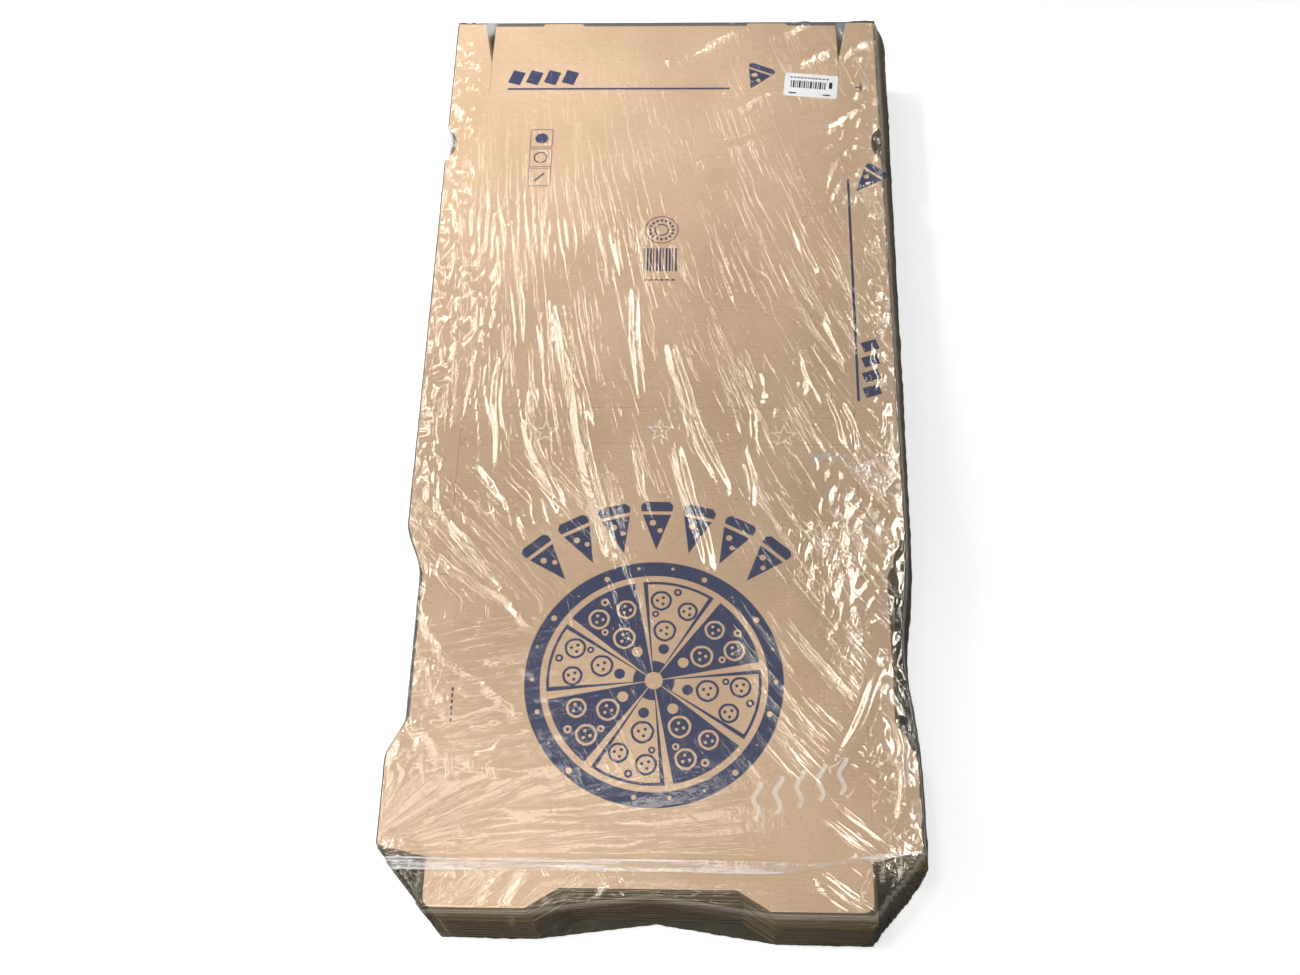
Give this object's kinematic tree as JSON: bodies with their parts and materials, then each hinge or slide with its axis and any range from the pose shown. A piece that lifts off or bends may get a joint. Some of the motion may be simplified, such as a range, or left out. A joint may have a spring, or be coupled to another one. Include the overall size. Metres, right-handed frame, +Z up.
{
  "type": "pack of flat pizza boxes",
  "caption": "Pack of flat die-cut corrugated pizza box blanks, stacked and wrapped tight in clear shrink film, with a small paper label on top.",
  "frame": {"origin": "middle of the underside of the wrapped pack, as it lies on a table", "axes": "+Z up through the stack, +Y along the blanks towards the roll-over flap end, +X to the label's side"},
  "size_m": [0.416, 0.8574, 0.086],
  "materials": {
    "kraft_board": "matte",
    "clear_film": "gloss",
    "label_paper": "satin"
  },
  "bodies": {
    "root": {"blank_01": "kraft_board", "blank_02": "kraft_board", "blank_03": "kraft_board", "blank_04": "kraft_board", "blank_05": "kraft_board", "blank_06": "kraft_board", "blank_07": "kraft_board", "blank_08": "kraft_board", "blank_09": "kraft_board", "blank_10": "kraft_board", "blank_11": "kraft_board", "blank_12": "kraft_board", "blank_13": "kraft_board", "blank_14": "kraft_board", "blank_15": "kraft_board", "blank_16": "kraft_board", "blank_17": "kraft_board", "blank_18": "kraft_board", "blank_19": "kraft_board", "blank_20": "kraft_board", "blank_21": "kraft_board", "blank_22": "kraft_board", "blank_23": "kraft_board", "blank_24": "kraft_board", "blank_25": "kraft_board", "blank_26": "kraft_board", "blank_27": "kraft_board", "blank_28": "kraft_board", "blank_29": "kraft_board", "blank_30": "kraft_board", "blank_31": "kraft_board", "blank_32": "kraft_board", "blank_33": "kraft_board", "blank_34": "kraft_board", "blank_35": "kraft_board", "blank_36": "kraft_board", "blank_37": "kraft_board", "blank_38": "kraft_board", "blank_39": "kraft_board", "blank_40": "kraft_board", "blank_41": "kraft_board", "blank_42": "kraft_board", "blank_43": "kraft_board", "blank_44": "kraft_board", "blank_45": "kraft_board", "blank_46": "kraft_board", "blank_47": "kraft_board", "blank_48": "kraft_board", "blank_49": "kraft_board", "blank_50": "kraft_board", "film_wrap": "clear_film", "label": "label_paper"}
  },
  "joints": []
}
